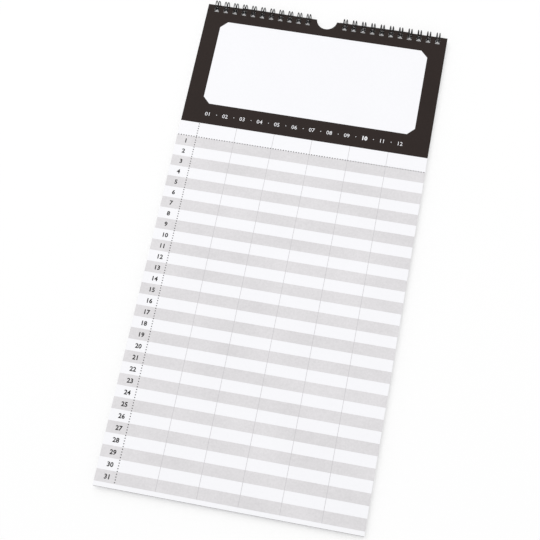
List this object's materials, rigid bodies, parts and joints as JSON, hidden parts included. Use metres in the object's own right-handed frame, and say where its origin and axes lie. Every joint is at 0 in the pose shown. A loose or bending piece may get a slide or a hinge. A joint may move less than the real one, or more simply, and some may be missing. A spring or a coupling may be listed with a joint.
{
  "type": "wall calendar",
  "caption": "Tall wire-bound family wall calendar with columns for each person, leaves that turn over and a folding wire hanger.",
  "frame": {"origin": "middle of the bounding box on the surface that the calendar lies on", "axes": "+Z out of the printed front, +Y towards the bound edge, +X to the reader's right"},
  "size_m": [0.22, 0.455, 0.0087],
  "materials": {
    "printed_paper": "satin",
    "cover_paper": "satin",
    "grey_board": "matte",
    "black_wire": "gloss"
  },
  "bodies": {
    "spine": {"back_board": "grey_board", "wire_comb_left": "black_wire", "wire_comb_right": "black_wire"},
    "december": {"december_leaf": "printed_paper"},
    "november": {"november_leaf": "printed_paper"},
    "october": {"october_leaf": "printed_paper"},
    "cover": {"cover_leaf": "cover_paper"},
    "january": {"january_leaf": "printed_paper"},
    "february": {"february_leaf": "printed_paper"},
    "march": {"march_leaf": "printed_paper"},
    "april": {"april_leaf": "printed_paper"},
    "may": {"may_leaf": "printed_paper"},
    "june": {"june_leaf": "printed_paper"},
    "july": {"july_leaf": "printed_paper"},
    "august": {"august_leaf": "printed_paper"},
    "september": {"september_leaf": "printed_paper"},
    "hanger": {"hanger_wire": "black_wire"}
  },
  "joints": [
    {"name": "december_turn", "type": "hinge", "parent": "spine", "child": "december", "pos_m": [0, 0.22318, 0.00429], "axis": [-1, 0, 0], "range_deg": [0, 180]},
    {"name": "november_turn", "type": "hinge", "parent": "december", "child": "november", "pos_m": [0, 0.22318, 0.00429], "axis": [-1, 0, 0], "range_deg": [0, 180]},
    {"name": "october_turn", "type": "hinge", "parent": "november", "child": "october", "pos_m": [0, 0.22318, 0.00429], "axis": [-1, 0, 0], "range_deg": [0, 180]},
    {"name": "cover_turn", "type": "hinge", "parent": "spine", "child": "cover", "pos_m": [0, 0.22318, 0.00429], "axis": [1, 0, 0], "range_deg": [0, 180]},
    {"name": "january_turn", "type": "hinge", "parent": "cover", "child": "january", "pos_m": [0, 0.22318, 0.00429], "axis": [1, 0, 0], "range_deg": [0, 180]},
    {"name": "february_turn", "type": "hinge", "parent": "january", "child": "february", "pos_m": [0, 0.22318, 0.00429], "axis": [1, 0, 0], "range_deg": [0, 180]},
    {"name": "march_turn", "type": "hinge", "parent": "february", "child": "march", "pos_m": [0, 0.22318, 0.00429], "axis": [1, 0, 0], "range_deg": [0, 180]},
    {"name": "april_turn", "type": "hinge", "parent": "march", "child": "april", "pos_m": [0, 0.22318, 0.00429], "axis": [1, 0, 0], "range_deg": [0, 180]},
    {"name": "may_turn", "type": "hinge", "parent": "april", "child": "may", "pos_m": [0, 0.22318, 0.00429], "axis": [1, 0, 0], "range_deg": [0, 180]},
    {"name": "june_turn", "type": "hinge", "parent": "may", "child": "june", "pos_m": [0, 0.22318, 0.00429], "axis": [1, 0, 0], "range_deg": [0, 180]},
    {"name": "july_turn", "type": "hinge", "parent": "june", "child": "july", "pos_m": [0, 0.22318, 0.00429], "axis": [1, 0, 0], "range_deg": [0, 180]},
    {"name": "august_turn", "type": "hinge", "parent": "july", "child": "august", "pos_m": [0, 0.22318, 0.00429], "axis": [1, 0, 0], "range_deg": [0, 180]},
    {"name": "september_turn", "type": "hinge", "parent": "august", "child": "september", "pos_m": [0, 0.22318, 0.00429], "axis": [1, 0, 0], "range_deg": [0, 180]},
    {"name": "hanger_swing", "type": "hinge", "parent": "september", "child": "hanger", "pos_m": [0, 0.22318, 0.00429], "axis": [1, 0, 0], "range_deg": [0, 180]}
  ]
}
